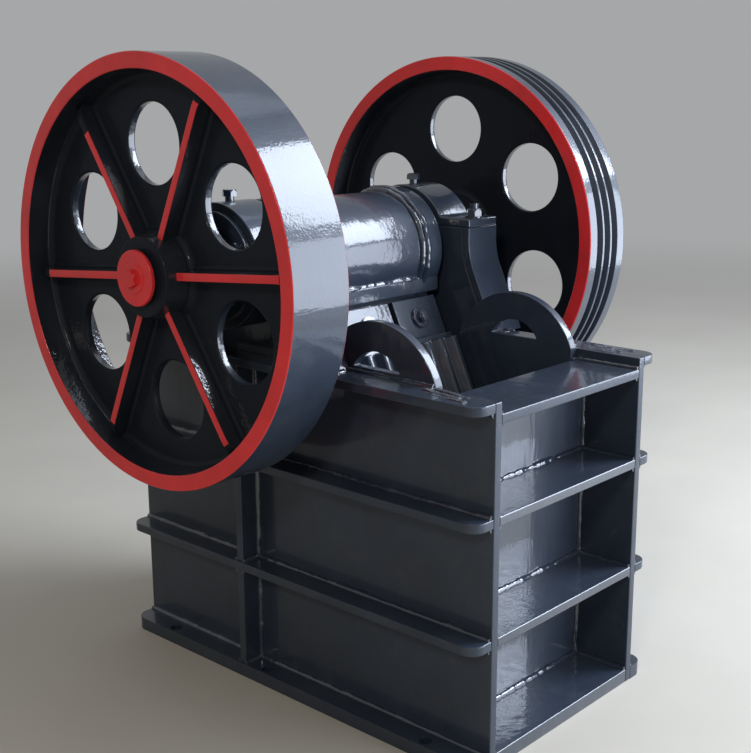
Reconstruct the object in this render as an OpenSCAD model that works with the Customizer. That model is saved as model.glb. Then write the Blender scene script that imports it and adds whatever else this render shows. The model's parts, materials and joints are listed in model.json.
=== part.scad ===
// Jaw crusher: a welded plate frame, a swing jaw hung on an eccentric shaft, a flywheel and a
// belt pulley. Millimetres. X runs along the shaft with the flywheel at -X, -Y is the feed end,
// +Z is up. The origin is the middle of the anchor bolt pattern, on the floor.

/* [Frame] */
// Length of the frame from the feed end to the rear
frame_len = 980; // [940:5:1020]
// Width over the outer faces of the two side plates
frame_w = 480; // [460:2:500]
// Thickness of a side plate
side_t = 18; // [15:1:20]
// Height of the side plates
frame_h = 688; // [680:1:700]
// How far flanges and ribs stand out from a side plate
rib_reach = 51; // [44:1:58]
// How much less a post stands out than the ribs
post_inset = 5; // [2:1:10]
// Thickness of the base flanges and base plates
base_t = 28; // [22:1:34]
// Thickness of the ribs, shelves, top plates and posts
rib_t = 18; // [14:1:20]
// Drop of the lower rib's underside below the top of the side plates
rib_low_drop = 451; // [438:1:463]
// Drop of the upper rib's underside below the top of the side plates
rib_high_drop = 224; // [208:1:238]
// Rounding of the outer corners of flanges and ribs
corner_r = 30; // [15:1:40]
// Depth of the open cells at the feed end and at the rear
cell_depth = 126; // [110:1:130]
// Thickness of the front wall and the rear wall
wall_t = 20; // [16:1:24]
// Drop of the top plates below the top of the side plates
top_drop = 22; // [18:1:30]

/* [Anchor bolts] */
// Radius of an anchor bolt hole
anchor_r = 13; // [9:0.5:16]
// Distance of the hole rows from the side plates
anchor_out = 32; // [26:1:34]
// Distance of the end holes from the ends of the frame
anchor_end = 125; // [80:5:160]
// Distance of the middle holes behind the middle of the frame
anchor_mid_y = 65; // [40:5:90]

/* [Shaft] */
// Distance of the shaft behind the inner face of the front wall
shaft_back = 469; // [460:1:475]
// Height of the shaft above the top of the side plates
shaft_rise = 182; // [178:1:188]
// Throw of the eccentric
throw = 10; // [6:0.5:12]
// Radius of the eccentric journal
ecc_r = 68; // [62:1:72]
// Radius of the shaft in its two bearings
journal_r = 55; // [45:1:58]
// Radius of the shaft in the two wheel hubs
seat_r = 42; // [36:1:44]
// How far the shaft's ends stand out of the hubs
shaft_proud = 8; // [2:1:12]
// Radial clearance of a running fit
run_gap = 0.05; // [0.02:0.01:0.09]

/* [Bearings] */
// Outer radius of a bearing
bearing_r = 100; // [92:1:106]
// Width of a bearing
bearing_w = 70; // [50:1:74]
// Outer radius of a bearing cap
cap_r = 123; // [116:1:130]
// Height of the cap joint above the shaft
split_rise = 40; // [20:1:50]
// Thickness of the cap lugs
lug_t = 18; // [12:1:24]
// Thickness of the seat wings of a bearing block
wing_t = 28; // [20:1:32]
// Width of a pedestal, from the inner face of its side plate
pedestal_w = 98; // [90:1:104]
// Half length of a pedestal at its top
pedestal_half = 188; // [180:1:200]
// Half length of a pedestal at its foot
pedestal_foot = 260; // [240:1:290]
// Drop of the pedestal's bend below the shaft
bend_drop = 20; // [10:1:40]
// Radius of the pedestal's bend
bend_r = 150; // [60:5:200]
// Thickness of the pedestal flanges
pedestal_t = 18; // [14:1:22]
// Radius of the shaft hole in a side plate
shaft_hole_r = 70; // [66:1:80]
// Radius of an outer bearing cover
cover_r = 108; // [104:1:114]
// Thickness of an outer bearing cover
cover_t = 12; // [8:1:15]
// Radial gap between a bearing cover and the shaft
cover_gap = 1; // [0.5:0.5:3]

/* [Wheels] */
// Outer radius of both wheels
wheel_r = 400; // [380:5:420]
// Gap between a bearing housing and a wheel's rim
wheel_gap = 48; // [40:1:60]
// Width of a rim
rim_w = 132; // [120:1:140]
// Thickness of a rim
rim_t = 30; // [28:1:36]
// Distance of a web from the rim's inner face
web_in = 58; // [50:1:66]
// Thickness of a web
web_t = 20; // [14:1:24]
// Radius of a hub at its ends
hub_r = 74; // [70:1:84]
// Radius of a hub where it meets the web
hub_root_r = 86; // [84:1:100]
// Distance of a hub from its bearing housing
hub_gap = 30; // [24:1:34]
// Radius of the round holes in a web
web_hole_r = 75; // [60:1:80]
// Radius of the circle on which the web holes lie
web_hole_circle = 238; // [230:1:250]
// Number of holes, and of ribs between them
spokes = 6; // [5:1:7]
// Thickness of a wheel rib
spoke_t = 18; // [12:1:22]
// Height of a wheel rib above its web
spoke_h = 34; // [24:1:44]
// Turn of the wheels on the shaft, in degrees
wheel_phase = -4.7; // [-30:0.1:30]
// Radius of a shaft end disc
disc_r = 52; // [46:1:60]
// Thickness of a shaft end disc
disc_t = 8; // [6:1:12]
// Radius of the washer on a shaft end disc
disc_washer_r = 28; // [22:1:32]
// Thickness of that washer
disc_washer_t = 3; // [2:1:5]
// Radius of the end bolt's corners
disc_bolt_r = 17; // [14:0.5:20]
// Height of the end bolt's head
disc_bolt_t = 10; // [8:1:14]

/* [Belt grooves] */
// Number of belt grooves
grooves = 3; // [1:1:4]
// Distance from groove to groove
groove_pitch = 28.5; // [26:0.5:30]
// Width of a groove at the rim's surface
groove_w = 22; // [18:0.5:24]
// Width of a groove at its floor
groove_floor_w = 10; // [6:0.5:14]
// Depth of a groove
groove_d = 18; // [12:0.5:20]

/* [Crushing chamber] */
// Thickness of a cheek plate
cheek_t = 20; // [16:1:32]
// Half-round top of a cheek plate: its radius
ear_r = 152; // [140:1:160]
// Distance of the half-round's centre behind the front wall
ear_back = 144; // [135:1:150]
// Drop of the half-round's centre below the frame's top
ear_drop = 51; // [46:1:60]
// How far the cheek plates reach below the jaws
cheek_drop = 41; // [36:1:60]
// Half width of the lifting hole in a cheek plate
lift_half = 58; // [45:1:65]
// Height of the lifting hole
lift_h = 34; // [26:1:38]
// Height of the lifting hole's sill above the frame's top
lift_sill = 10; // [6:1:16]
// Side clearance of the fixed jaw plate
fixed_gap = 2; // [1:0.5:4]
// Side clearance of the swing jaw
swing_gap = 6; // [5:0.5:9]
// Distance of the fixed jaw plate's top below the top plate
fixed_top_gap = 8; // [2:1:20]
// Thickness of the fixed jaw plate, with its ridges
fixed_t = 40; // [34:1:44]
// Height of the jaw ridges
ridge_h = 20; // [12:1:24]
// Width of a ridge at its root
ridge_root = 34; // [26:1:38]
// Width of a ridge at its tip
ridge_tip = 12; // [6:1:18]
// Number of ridges on the swing jaw plate
ridges = 9; // [7:1:10]
// Height of the ledge under the fixed jaw plate
ledge_h = 28; // [20:1:32]
// Depth of the ledge under the fixed jaw plate
ledge_d = 32; // [24:1:36]

/* [Swing jaw] */
// Distance of the ridge tips' top from the shaft, towards the feed end
jaw_ahead = 187; // [180:1:190]
// Drop of the ridge tips' top below the shaft
jaw_drop = 185; // [180:1:190]
// Lean of the swing jaw, in degrees
jaw_lean = 25; // [24.5:0.1:26]
// Length of the swing jaw plate below the ridge tips' top
jaw_len = 490; // [470:1:495]
// Thickness of the swing jaw plate, with its ridges
jaw_t = 50; // [44:1:56]
// Height of the swing jaw plate's head above the ridge tips' top
head_h = 13; // [8:1:16]
// Thickness of a wedge plate
wedge_t = 21; // [16:1:26]
// Height of a wedge plate
wedge_h = 88; // [80:1:90]
// Distance of the wedge plates from the sides of the swing jaw
wedge_inset = 6; // [2:1:12]
// Length of the short wedge plate
wedge_short_len = 137; // [110:1:160]
// Gap between the two wedge plates
wedge_gap = 13; // [6:1:20]
// Radius of the barrel between its end rings
barrel_r = 124; // [116:1:126]
// Radius of the barrel's end rings
barrel_end_r = 131; // [128:1:134]
// Gap between the barrel and a side plate
barrel_gap = 17; // [12:1:22]
// Length of a barrel end ring
barrel_ring = 52; // [40:1:70]
// Distance of the lip's front from the shaft
lip_ahead = 118; // [114:1:122]
// Drop of the lip's underside below the shaft
lip_drop = 98; // [92:1:100]
// Thickness of the lip
lip_t = 32; // [24:1:36]
// Thickness of the pitman's face plate
face_t = 40; // [32:1:44]
// How far the face plate runs past the swing jaw plate
face_extra = 15; // [8:1:20]
// Thickness of a pitman rib
stay_t = 26; // [20:1:32]
// Distance of the outer pitman ribs from the middle
stay_x = 140; // [120:1:150]
// Depth of the toggle block at its underside
block_d = 91; // [86:1:95]
// Height of the toggle block
block_h = 138; // [130:1:150]

/* [Toggle] */
// Thickness of the toggle plate
toggle_t = 36; // [30:1:38]
// Width of the toggle plate
toggle_w = 340; // [300:5:360]
// Height of the toggle plate's front end above the underside of the toggle block
toggle_rise = 69; // [66:1:72]
// How much higher the toggle plate's rear end is than its front end
toggle_lift = 55; // [40:1:70]
// Depth of the pitman's toggle groove
toggle_groove_d = 40; // [34:1:42]
// Gap between two curved or slanted faces that are cast or welded together
seam = 0.3; // [0.2:0.05:0.5]
// Clearance that a loose pivot keeps at its closest
pivot_gap = 7; // [6:0.5:8]
// Clearance at the toggle plate's rear end
seat_gap = 0.3; // [0.2:0.05:0.5]
// Thickness of the toggle seat, front to rear
seat_d = 82; // [70:1:90]
// Height of the toggle seat
seat_h = 90; // [80:1:100]
// Width of the toggle seat
seat_w = 380; // [340:5:400]

/* [Tension rod] */
// Radius of the tension rod
rod_r = 12; // [10:0.5:14]
// Radial gap round the tension rod in the rear wall
rod_gap = 0.6; // [0.5:0.1:2]
// Radial gap between the tension rod and its spring
coil_gap = 2; // [1:0.5:4]
// Radius of the nut's corners
nut_r = 21; // [18:0.5:24]
// Distance of the hook pin ahead of the toggle block's rear face
pin_ahead = 55; // [50:1:58]
// Drop of the hook pin below the underside of the toggle block
pin_drop = 63; // [60:1:66]
// Radius of the hook pin
pin_r = 14; // [10:0.5:15]
// Wall of the rod's eye
eye_wall = 12; // [8:1:13]
// Width of the rod's eye
eye_w = 36; // [30:1:40]
// Side clearance between the eye and its lugs
eye_gap = 16; // [8:1:18]
// Thickness of a hook lug
hook_t = 16; // [12:1:20]
// Radius of a hook lug's rounded end
hook_r = 24; // [20:1:26]
// Half length of a hook lug where it joins the pitman
hook_foot = 34; // [28:1:36]
// Radius of the spring
spring_r = 34; // [28:1:38]
// Length of the spring
spring_len = 80; // [70:1:84]
// Thickness of the spring washer
washer_t = 8; // [5:1:10]
// Thickness of the rod's nuts
nut_t = 20; // [14:1:22]

/* [Hidden] */
$fn = 96;
cut = 1;
nut_sides = 6;
bend_steps = 8;
half_w = frame_w / 2;
inner_w = half_w - side_t;
half_len = frame_len / 2;
wall_y = half_len - cell_depth;
wall_back = wall_y - wall_t;
shaft_y = shaft_back - wall_back;
shaft_z = frame_h + shaft_rise;
rib_low_z = frame_h - rib_low_drop;
rib_high_z = frame_h - rib_high_drop;
top_z = frame_h - top_drop;
plate_z = top_z - rib_t;
split_z = shaft_z + split_rise;
ecc_z = shaft_z - throw;
jaw_y = shaft_y - jaw_ahead;
jaw_z = shaft_z - jaw_drop;
jaw_low = jaw_z - jaw_len * cos(jaw_lean);
lip_z = shaft_z - lip_drop;
chamber_half = inner_w - cheek_t;
swing_half = chamber_half - swing_gap;
barrel_half = inner_w - barrel_gap;
bearing_face = inner_w + pedestal_w;
wheel_in = bearing_face + wheel_gap;
hub_in = bearing_face + hub_gap;
hub_out = wheel_in + rim_w;
shaft_out = hub_out + shaft_proud;
web_x = wheel_in + web_in;
spoke_x = web_x + web_t + spoke_h;
ear_y = -wall_back + ear_back;
ear_z = frame_h - ear_drop;
lean_run = tan(jaw_lean);
block_z = jaw_z - (jaw_len + face_extra) * cos(jaw_lean) - jaw_t * sin(jaw_lean);
block_y = face_y(block_z) + block_d;
groove_half = toggle_t / 2 + throw + pivot_gap;
toggle_front_z = block_z + toggle_rise;
toggle_rear_z = toggle_front_z + toggle_lift;
toggle_tip_y = block_y - toggle_groove_d + throw + pivot_gap;
toggle_front_y = toggle_tip_y + toggle_t / 2;
toggle_rear_y = wall_back - seat_d;
toggle_angle = atan2(toggle_rear_z - toggle_front_z, toggle_rear_y - toggle_front_y);
toggle_len = norm([toggle_rear_z - toggle_front_z, toggle_rear_y - toggle_front_y]);
pin_y = block_y - pin_ahead;
pin_z = block_z - pin_drop;
eye_z = pin_z + throw;
eye_in = pin_r + throw + pivot_gap;
eye_out = eye_in + eye_wall;
lug_x = eye_w / 2 + eye_gap;
enamel = [0.17, 0.20, 0.25];
red_paint = [0.69, 0.16, 0.16];
steel = [0.55, 0.56, 0.58];

// A Y-Z profile made solid between two places on X
module along_x(x0, x1) {
    translate([x0, 0, 0]) rotate([90, 0, 90]) linear_extrude(x1 - x0) children();
}

// A round bar along X
module bar_x(r, x0, x1) {
    translate([x0, 0, 0]) rotate([0, 90, 0]) cylinder(r = r, h = x1 - x0);
}

// A round bar along Y
module bar_y(r, y0, y1) {
    translate([0, y0, 0]) rotate([-90, 0, 0]) cylinder(r = r, h = y1 - y0);
}

// A box from its lowest to its highest corner
module block(low, high) {
    translate(low) cube(high - low);
}

module at_shaft() {
    translate([0, shaft_y, shaft_z]) children();
}

module at_eccentric() {
    translate([0, shaft_y, ecc_z]) children();
}

// The swing jaw's own frame: the ridge tips lie on its X-Z plane, and Y points into the plate
module at_jaw() {
    translate([0, jaw_y, jaw_z]) rotate([-jaw_lean, 0, 0]) children();
}

module left() {
    mirror([1, 0, 0]) children();
}

module both() {
    children();
    left() children();
}

// A flange or rib on the right side plate, with rounded outer corners
module side_strip(z0, t) {
    translate([half_w, 0, z0]) linear_extrude(t) {
        translate([0, -half_len + corner_r]) square([rib_reach, frame_len - 2 * corner_r]);
        translate([0, -half_len]) square([rib_reach - corner_r, frame_len]);
        intersection() {
            translate([0, -half_len]) square([rib_reach, frame_len]);
            for (side = [-1, 1])
                translate([rib_reach - corner_r, side * (half_len - corner_r)]) circle(r = corner_r);
        }
    }
}

module base_flange() {
    color(enamel) difference() {
        side_strip(0, base_t);
        for (y = [-half_len + anchor_end, anchor_mid_y, half_len - anchor_end])
            translate([half_w + anchor_out, y, -cut]) cylinder(r = anchor_r, h = base_t + 2 * cut);
    }
}

module side_ribs() {
    color(enamel) for (z = [rib_low_z, rib_high_z]) side_strip(z, rib_t);
}

module top_flange() {
    color(enamel) side_strip(frame_h - rib_t, rib_t);
}

module post() {
    spans = [
        [base_t, rib_low_z],
        [rib_low_z + rib_t, rib_high_z],
        [rib_high_z + rib_t, frame_h - rib_t]
    ];
    out = half_w + rib_reach - post_inset;
    color(enamel) for (s = spans)
        block([half_w, shaft_y - rib_t / 2, s[0]], [out, shaft_y + rib_t / 2, s[1]]);
}

// Half outline of a pedestal from its foot to its top, set in by a distance, as [Y from shaft, Z]
bend_z = shaft_z - bend_drop;
flare = atan((pedestal_foot - pedestal_half) / (bend_z - frame_h));
bend_run = bend_r * tan(flare / 2);
function neck(inset) = concat(
    [[pedestal_foot - inset / cos(flare), frame_h]],
    [for (k = [bend_steps : -1 : 0])
        [
            pedestal_half + bend_r - (bend_r + inset) * cos(flare * k / bend_steps),
            bend_z + bend_run - (bend_r + inset) * sin(flare * k / bend_steps)
        ]
    ],
    [[pedestal_half - inset, split_z]]
);
function reversed(v) = [for (i = [len(v) - 1 : -1 : 0]) v[i]];

module side_plate() {
    rear_neck = [for (p = neck(pedestal_t)) [shaft_y + p[0], p[1]]];
    front_neck = [for (p = neck(pedestal_t)) [shaft_y - p[0], p[1]]];
    outline = concat(
        [[-half_len, 0], [half_len, 0], [half_len, frame_h]],
        rear_neck,
        reversed(front_neck),
        [[-half_len, frame_h]]
    );
    color(enamel) difference() {
        along_x(inner_w, half_w) polygon(outline);
        at_shaft() bar_x(shaft_hole_r, inner_w - cut, half_w + cut);
    }
}

module pedestal_flanges() {
    strip = concat(neck(0), reversed(neck(pedestal_t)));
    color(enamel) for (side = [-1, 1])
        along_x(inner_w, bearing_face) polygon([for (p = strip) [shaft_y + side * p[0], p[1]]]);
}

module bearing_block() {
    wing = pedestal_half - pedestal_t;
    color(enamel) difference() {
        along_x(half_w, bearing_face) translate([shaft_y, shaft_z]) {
            translate([-wing, split_rise - wing_t]) square([2 * wing, wing_t]);
            intersection() {
                circle(r = cap_r);
                translate([-cap_r, -cap_r]) square([2 * cap_r, cap_r + split_rise]);
            }
        }
        at_shaft() bar_x(bearing_r + run_gap, half_w - cut, bearing_face + cut);
    }
}

module bearing_cap() {
    color(enamel) difference() {
        along_x(inner_w, bearing_face) translate([shaft_y, shaft_z]) {
            translate([-pedestal_half, split_rise]) square([2 * pedestal_half, lug_t]);
            intersection() {
                circle(r = cap_r);
                translate([-cap_r, split_rise]) square([2 * cap_r, cap_r]);
            }
        }
        at_shaft() bar_x(bearing_r + run_gap, half_w, bearing_face + cut);
        at_shaft() bar_x(shaft_hole_r, inner_w - cut, half_w + cut);
    }
}

module bearing() {
    mid = (half_w + bearing_face) / 2;
    color(steel) at_shaft() difference() {
        bar_x(bearing_r, mid - bearing_w / 2, mid + bearing_w / 2);
        bar_x(journal_r + run_gap, mid - bearing_w, mid + bearing_w);
    }
}

module bearing_cover() {
    color(enamel) at_shaft() difference() {
        bar_x(cover_r, bearing_face, bearing_face + cover_t);
        bar_x(journal_r + cover_gap, bearing_face - cut, bearing_face + cover_t + cut);
    }
}

// The shelves and the base plate of one end: side is -1 for the feed end and 1 for the rear
module shelves(side) {
    color(enamel) {
        for (z = [rib_low_z, rib_high_z]) end_plate(side, wall_y, z, rib_t);
        end_plate(side, wall_back, 0, base_t);
    }
}

module end_plate(side, from, z, t) {
    y0 = side < 0 ? -half_len : from;
    translate([-inner_w, y0, z]) cube([2 * inner_w, half_len - from, t]);
}

module top_plate(side) {
    color(enamel) end_plate(side, wall_back, plate_z, rib_t);
}

module front_wall() {
    color(enamel) {
        block([-inner_w, -wall_y, base_t], [inner_w, -wall_back, plate_z]);
        block(
            [-chamber_half + fixed_gap, -wall_back - cut, jaw_low - ledge_h],
            [chamber_half - fixed_gap, -wall_back + ledge_d, jaw_low]
        );
    }
}

module rear_wall() {
    color(enamel) difference() {
        block([-inner_w, wall_back, base_t], [inner_w, wall_y, plate_z]);
        translate([0, 0, eye_z]) bar_y(rod_r + rod_gap, wall_back - cut, wall_y + cut);
    }
}

module cheek_plate() {
    lift_r = (lift_half * lift_half + lift_h * lift_h) / (2 * lift_h);
    lift_z = frame_h + lift_sill;
    low_z = jaw_low - cheek_drop;
    back_top = ear_y + ear_r;
    back_low = back_top - (ear_z - low_z) * lean_run;
    color(enamel) along_x(inner_w - cheek_t, inner_w) difference() {
        union() {
            intersection() {
                translate([ear_y, ear_z]) circle(r = ear_r);
                translate([-wall_back, ear_z - ear_r]) square([2 * ear_r + ear_back, 2 * ear_r]);
            }
            polygon([
                [-wall_back, low_z],
                [back_low, low_z],
                [back_top, ear_z],
                [-wall_back, ear_z]
            ]);
        }
        intersection() {
            translate([ear_y, lift_z + lift_h - lift_r]) circle(r = lift_r);
            translate([ear_y - lift_half, lift_z]) square([2 * lift_half, lift_h + cut]);
        }
    }
}

// One ridge, its tip on Y = 0 and its root at Y = ridge_h
module ridge(h) {
    linear_extrude(h)
        polygon([
            [-ridge_root / 2, ridge_h],
            [-ridge_tip / 2, 0],
            [ridge_tip / 2, 0],
            [ridge_root / 2, ridge_h]
        ]);
}

// A row of ridges across a jaw plate
module ridge_row(half, count, h) {
    pitch = (2 * half - ridge_root) / (ridges - 1);
    for (i = [0 : count - 1]) translate([(i - (count - 1) / 2) * pitch, 0, 0]) ridge(h);
}

module fixed_jaw_plate() {
    half = chamber_half - fixed_gap;
    top = plate_z - fixed_top_gap;
    color(steel) {
        block([-half, -wall_back, jaw_low], [half, -wall_back + fixed_t - ridge_h, top]);
        translate([0, -wall_back + fixed_t, jaw_low]) mirror([0, 1, 0])
            ridge_row(swing_half, ridges - 1, top - jaw_low);
    }
}

module swing_jaw_plate() {
    color(steel) at_jaw() {
        block([-swing_half, ridge_h, -jaw_len], [swing_half, jaw_t, head_h]);
        translate([0, 0, -jaw_len]) ridge_row(swing_half, ridges, jaw_len);
    }
}

module wedge(x0, x1) {
    color(enamel) at_jaw() block([x0, jaw_t - wedge_t, head_h], [x1, jaw_t, head_h + wedge_h]);
}

module wedge_plates() {
    end = swing_half - wedge_inset;
    wedge(end - wedge_short_len, end);
    wedge(-end, end - wedge_short_len - wedge_gap);
}

// The barrel's outside, made larger by a margin
module barrel_form(margin) {
    at_eccentric() {
        bar_x(barrel_r + margin, -barrel_half, barrel_half);
        bar_x(barrel_end_r + margin, -barrel_half - margin, -barrel_half + barrel_ring);
        bar_x(barrel_end_r + margin, barrel_half - barrel_ring, barrel_half + margin);
    }
}

module pitman_barrel() {
    color(enamel) difference() {
        barrel_form(0);
        at_eccentric() bar_x(ecc_r + run_gap, -barrel_half - cut, barrel_half + cut);
    }
}

module pitman_lip() {
    color(enamel) difference() {
        block([-barrel_half, shaft_y - lip_ahead, lip_z], [barrel_half, shaft_y, lip_z + lip_t]);
        barrel_form(seam);
    }
}

module pitman_plate() {
    color(enamel) difference() {
        at_jaw() block(
            [-swing_half, jaw_t, -jaw_len - face_extra],
            [swing_half, jaw_t + face_t, head_h + wedge_h + lip_t]
        );
        block([-barrel_half, shaft_y - barrel_r - lip_ahead, lip_z], [barrel_half, shaft_y, ecc_z]);
        barrel_form(seam);
    }
}

// Y just behind the pitman plate's rear face at a height
function face_y(z) = jaw_y + (jaw_t + face_t) / cos(jaw_lean) + (z - jaw_z) * lean_run + seam;

module toggle_block() {
    groove_z = toggle_front_z - throw;
    color(enamel) difference() {
        along_x(-swing_half, swing_half) polygon([
            [face_y(block_z), block_z],
            [block_y, block_z],
            [block_y, block_z + block_h],
            [face_y(block_z + block_h), block_z + block_h]
        ]);
        block(
            [-swing_half - cut, block_y - toggle_groove_d, groove_z - groove_half],
            [swing_half + cut, block_y + cut, groove_z + groove_half]
        );
    }
}

module pitman_stays() {
    foot_z = block_z + block_h;
    color(enamel) difference() {
        for (x = [-stay_x, 0, stay_x])
            along_x(x - stay_t / 2, x + stay_t / 2) polygon([
                [face_y(lip_z), lip_z],
                [shaft_y, ecc_z],
                [shaft_y + barrel_r * cos(45), ecc_z - barrel_r * sin(45)],
                [block_y, foot_z],
                [face_y(foot_z), foot_z]
            ]);
        barrel_form(seam);
    }
}

module rod_hook() {
    color(enamel) {
        for (side = [-1, 1])
            translate([side > 0 ? lug_x : -lug_x - hook_t, 0, 0]) {
                along_x(0, hook_t) polygon([
                    [pin_y - hook_foot, block_z],
                    [pin_y + hook_foot, block_z],
                    [pin_y + hook_r, pin_z],
                    [pin_y - hook_r, pin_z]
                ]);
                translate([0, pin_y, pin_z]) bar_x(hook_r, 0, hook_t);
            }
        translate([0, pin_y, pin_z]) bar_x(pin_r, -lug_x, lug_x);
    }
}

module toggle_plate() {
    color(steel) translate([0, toggle_front_y, toggle_front_z]) rotate([toggle_angle, 0, 0]) {
        bar_x(toggle_t / 2, -toggle_w / 2, toggle_w / 2);
        translate([0, toggle_len, 0]) bar_x(toggle_t / 2, -toggle_w / 2, toggle_w / 2);
        block([-toggle_w / 2, 0, -toggle_t / 2], [toggle_w / 2, toggle_len, toggle_t / 2]);
    }
}

module toggle_seat() {
    color(enamel) difference() {
        block(
            [-seat_w / 2, toggle_rear_y, toggle_rear_z - seat_h / 2],
            [seat_w / 2, wall_back, toggle_rear_z + seat_h / 2]
        );
        translate([0, toggle_rear_y, toggle_rear_z])
            bar_x(toggle_t / 2 + seat_gap, -seat_w / 2 - cut, seat_w / 2 + cut);
    }
}

module tension_rod() {
    washer_y = wall_y + spring_len;
    nut_y = washer_y + washer_t;
    color(steel) {
        difference() {
            union() {
                translate([0, pin_y, eye_z]) bar_x(eye_out, -eye_w / 2, eye_w / 2);
                translate([0, 0, eye_z]) bar_y(rod_r, pin_y, nut_y + nut_t + rod_r);
            }
            translate([0, pin_y, eye_z]) bar_x(eye_in, -eye_w, eye_w);
        }
        translate([0, 0, eye_z]) bar_y(spring_r, washer_y, nut_y);
        translate([0, nut_y, eye_z]) rotate([-90, 0, 0]) cylinder(r = nut_r, h = nut_t, $fn = nut_sides);
    }
}

module tension_spring() {
    color(steel) translate([0, 0, eye_z]) difference() {
        bar_y(spring_r, wall_y, wall_y + spring_len);
        bar_y(rod_r + coil_gap, wall_y - cut, wall_y + spring_len + cut);
    }
}

module shaft() {
    color(steel) {
        at_eccentric() bar_x(ecc_r, -barrel_half, barrel_half);
        at_shaft() {
            bar_x(journal_r, -hub_in, hub_in);
            bar_x(seat_r, -shaft_out, shaft_out);
        }
    }
}

// A ring about the shaft from its half section of [radius, X] points
module shaft_ring(section) {
    at_shaft() rotate([0, 90, 0]) rotate_extrude() polygon(section);
}

// The cast wheels are made on the +X side in four parts: rim, web, hub and ribs.
// The rim takes the section points of its belt grooves.
module rim(groove_points) {
    color(enamel) shaft_ring(concat(
        [[wheel_r - rim_t, wheel_in], [wheel_r, wheel_in]],
        groove_points,
        [[wheel_r, wheel_in + rim_w], [wheel_r - rim_t, wheel_in + rim_w]]
    ));
}

module pulley_rim() {
    first = wheel_in + rim_w / 2 - (grooves - 1) / 2 * groove_pitch;
    groove = [
        [wheel_r, -groove_w / 2],
        [wheel_r - groove_d, -groove_floor_w / 2],
        [wheel_r - groove_d, groove_floor_w / 2],
        [wheel_r, groove_w / 2]
    ];
    rim([for (i = [0 : grooves - 1]) for (point = groove) point + [0, first + i * groove_pitch]]);
}

// Places its children at each of the ribs, or at the places between them
module around(shift) {
    for (k = [0 : spokes - 1]) rotate([wheel_phase + (k + shift) * 360 / spokes, 0, 0]) children();
}

module web() {
    color(enamel) at_shaft() difference() {
        bar_x(wheel_r - rim_t - seam, web_x, web_x + web_t);
        bar_x(hub_root_r + seam, web_x - cut, web_x + web_t + cut);
        around(0.5) translate([0, web_hole_circle, 0]) bar_x(web_hole_r, web_x - cut, web_x + web_t + cut);
    }
}

module hub() {
    color(enamel) shaft_ring([
        [seat_r + run_gap, hub_in],
        [hub_r, hub_in],
        [hub_root_r, web_x],
        [hub_root_r, web_x + web_t],
        [hub_r, hub_out],
        [seat_r + run_gap, hub_out]
    ]);
}

module wheel_ribs() {
    web_face = web_x + web_t;
    slope = (hub_root_r - hub_r) / (hub_out - web_face);
    rib_points = [
        [web_face, hub_root_r + seam],
        [web_face, wheel_r - rim_t - seam],
        [spoke_x, wheel_r - rim_t - seam],
        [spoke_x, hub_root_r - slope * spoke_h + seam]
    ];
    color(enamel) at_shaft() around(0)
        translate([0, 0, -spoke_t / 2]) linear_extrude(spoke_t) polygon(rib_points);
}

module end_disc() {
    face = shaft_out + disc_t;
    color(red_paint) at_shaft() {
        bar_x(disc_r, shaft_out, face);
        bar_x(disc_washer_r, shaft_out, face + disc_washer_t);
        translate([shaft_out, 0, 0]) rotate([0, 90, 0])
            cylinder(r = disc_bolt_r, h = disc_t + disc_washer_t + disc_bolt_t, $fn = nut_sides);
    }
}

left() side_plate();  // side_plate_left
side_plate();  // side_plate_right
both() base_flange();  // base_flanges
left() side_ribs();  // side_ribs_left
side_ribs();  // side_ribs_right
both() top_flange();  // top_flanges
both() post();  // posts
shelves(-1);  // front_shelves
top_plate(-1);  // front_top_plate
front_wall();
shelves(1);  // rear_shelves
top_plate(1);  // rear_top_plate
rear_wall();
left() pedestal_flanges();  // pedestal_flanges_left
pedestal_flanges();  // pedestal_flanges_right
left() bearing_block();  // bearing_block_left
bearing_block();  // bearing_block_right
left() bearing_cap();  // bearing_cap_left
bearing_cap();  // bearing_cap_right
both() bearing();  // bearings
both() bearing_cover();  // bearing_covers
left() cheek_plate();  // cheek_plate_left
cheek_plate();  // cheek_plate_right
fixed_jaw_plate();
toggle_plate();
toggle_seat();
tension_rod();
tension_spring();
shaft();
left() rim([]);  // flywheel_rim
left() web();  // flywheel_web
pulley_rim();
web();  // pulley_web
both() hub();  // wheel_hubs
both() wheel_ribs();
both() end_disc();  // shaft_end_discs
pitman_barrel();
pitman_lip();
pitman_plate();
pitman_stays();
toggle_block();
rod_hook();
swing_jaw_plate();
wedge_plates();
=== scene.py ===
import json
import math

import bmesh
import bpy
from bpy.props import FloatProperty, IntProperty, PointerProperty, StringProperty
from mathutils import Matrix, Vector


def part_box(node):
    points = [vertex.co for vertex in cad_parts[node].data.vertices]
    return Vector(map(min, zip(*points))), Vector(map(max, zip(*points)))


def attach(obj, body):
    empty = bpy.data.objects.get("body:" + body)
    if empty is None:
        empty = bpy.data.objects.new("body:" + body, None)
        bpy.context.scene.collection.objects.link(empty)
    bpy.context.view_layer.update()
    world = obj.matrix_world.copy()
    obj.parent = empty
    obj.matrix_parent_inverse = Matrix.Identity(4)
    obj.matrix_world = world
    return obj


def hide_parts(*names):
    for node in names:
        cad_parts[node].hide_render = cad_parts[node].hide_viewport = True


bl_info = {
    "name": "Jaw crusher",
    "version": (1, 0, 0),
    "blender": (4, 5, 0),
    "location": "3D View > Sidebar > Crusher",
    "description": "Finishes the packed jaw crusher with its castings, welds, bolts and paint",
    "category": "Object",
}

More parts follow.
